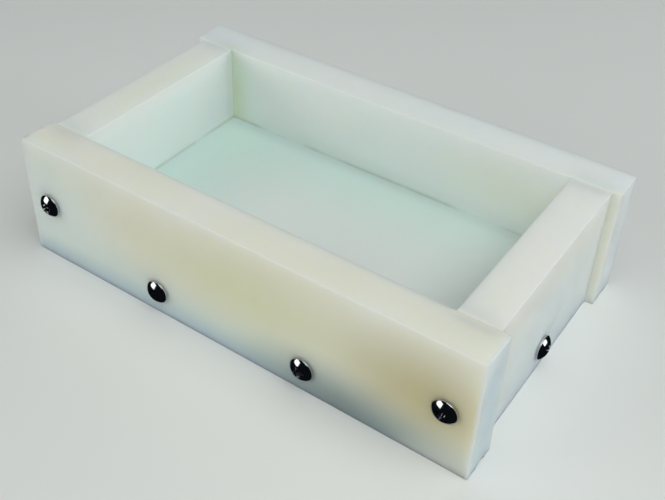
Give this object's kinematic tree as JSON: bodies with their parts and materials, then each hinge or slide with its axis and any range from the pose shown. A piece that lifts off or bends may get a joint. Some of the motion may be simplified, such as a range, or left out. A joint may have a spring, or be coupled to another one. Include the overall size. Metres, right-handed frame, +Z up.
{
  "type": "soap loaf mould",
  "caption": "Open rectangular loaf mould for soap, five thick plastic boards butt-jointed with domed pan-head screws, the long walls reaching past the ends.",
  "frame": {"origin": "on the table, under the middle of the box", "axes": "+X along the length, -Y towards the front wall, +Z up"},
  "size_m": [0.163, 0.1028, 0.0435],
  "materials": {
    "board_plastic": "milky white polyethylene sheet, satin, slightly see-through at its edges",
    "screw_steel": "bright polished steel"
  },
  "bodies": {
    "box": {"floor_board": "board_plastic", "left_end_board": "board_plastic", "right_end_board": "board_plastic"},
    "front_wall": {"front_board": "board_plastic"},
    "back_wall": {"back_board": "board_plastic"},
    "front_screw_end_left": {"front_screw_end_left": "screw_steel"},
    "front_screw_floor_left": {"front_screw_floor_left": "screw_steel"},
    "front_screw_floor_right": {"front_screw_floor_right": "screw_steel"},
    "front_screw_end_right": {"front_screw_end_right": "screw_steel"},
    "back_screw_end_left": {"back_screw_end_left": "screw_steel"},
    "back_screw_floor_left": {"back_screw_floor_left": "screw_steel"},
    "back_screw_floor_right": {"back_screw_floor_right": "screw_steel"},
    "back_screw_end_right": {"back_screw_end_right": "screw_steel"},
    "left_end_screw": {"left_end_screw": "screw_steel"},
    "right_end_screw": {"right_end_screw": "screw_steel"}
  },
  "joints": [
    {"name": "front_wall_off", "type": "slide", "parent": "box", "child": "front_wall", "axis": [0, -1, 0], "range_m": [0, 0.04]},
    {"name": "back_wall_off", "type": "slide", "parent": "box", "child": "back_wall", "axis": [0, 1, 0], "range_m": [0, 0.04]},
    {"name": "front_screw_end_left_out", "type": "slide", "parent": "front_wall", "child": "front_screw_end_left", "axis": [0, -1, 0], "range_m": [0, 0.028]},
    {"name": "front_screw_floor_left_out", "type": "slide", "parent": "front_wall", "child": "front_screw_floor_left", "axis": [0, -1, 0], "range_m": [0, 0.028]},
    {"name": "front_screw_floor_right_out", "type": "slide", "parent": "front_wall", "child": "front_screw_floor_right", "axis": [0, -1, 0], "range_m": [0, 0.028]},
    {"name": "front_screw_end_right_out", "type": "slide", "parent": "front_wall", "child": "front_screw_end_right", "axis": [0, -1, 0], "range_m": [0, 0.028]},
    {"name": "back_screw_end_left_out", "type": "slide", "parent": "back_wall", "child": "back_screw_end_left", "axis": [0, 1, 0], "range_m": [0, 0.028]},
    {"name": "back_screw_floor_left_out", "type": "slide", "parent": "back_wall", "child": "back_screw_floor_left", "axis": [0, 1, 0], "range_m": [0, 0.028]},
    {"name": "back_screw_floor_right_out", "type": "slide", "parent": "back_wall", "child": "back_screw_floor_right", "axis": [0, 1, 0], "range_m": [0, 0.028]},
    {"name": "back_screw_end_right_out", "type": "slide", "parent": "back_wall", "child": "back_screw_end_right", "axis": [0, 1, 0], "range_m": [0, 0.028]},
    {"name": "left_end_screw_out", "type": "slide", "parent": "box", "child": "left_end_screw", "axis": [-1, 0, 0], "range_m": [0, 0.028]},
    {"name": "right_end_screw_out", "type": "slide", "parent": "box", "child": "right_end_screw", "axis": [1, 0, 0], "range_m": [0, 0.028]}
  ]
}
